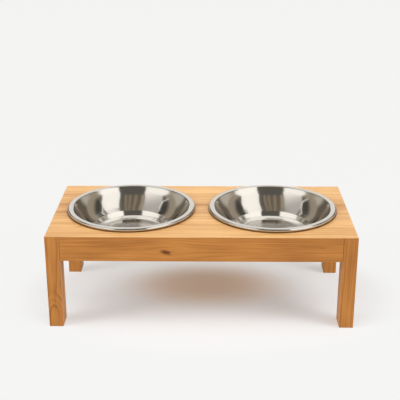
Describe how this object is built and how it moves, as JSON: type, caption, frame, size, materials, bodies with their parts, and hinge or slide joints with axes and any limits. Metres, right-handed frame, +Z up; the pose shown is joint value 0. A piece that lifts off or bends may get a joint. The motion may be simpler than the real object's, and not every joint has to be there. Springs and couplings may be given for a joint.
{
  "type": "raised double pet bowl",
  "caption": "Low wooden feeder stand on straight legs, its mitred top holding round stainless bowls that lift out.",
  "frame": {"origin": "on the floor, under the middle of the stand", "axes": "+X along the stand's length, -Y towards its front, +Z up"},
  "size_m": [0.4, 0.196, 0.1326],
  "materials": {
    "pine": "oiled, satin",
    "beech": "bare",
    "stainless": "satin"
  },
  "bodies": {
    "stand": {"top_panel": "pine", "front_apron": "pine", "rear_apron": "pine", "left_apron": "pine", "right_apron": "pine", "front_left_leg": "pine", "front_right_leg": "pine", "rear_left_leg": "pine", "rear_right_leg": "pine", "front_spline": "beech", "front_dowels": "beech", "rear_spline": "beech", "rear_dowels": "beech", "left_spline": "beech", "left_dowels": "beech", "right_spline": "beech", "right_dowels": "beech"},
    "left_bowl": {"left_bowl": "stainless"},
    "right_bowl": {"right_bowl": "stainless"}
  },
  "joints": [
    {"name": "left_bowl_lift", "type": "slide", "parent": "stand", "child": "left_bowl", "axis": [0, 0, 1], "range_m": [0, 0.06]},
    {"name": "right_bowl_lift", "type": "slide", "parent": "stand", "child": "right_bowl", "axis": [0, 0, 1], "range_m": [0, 0.06]}
  ]
}
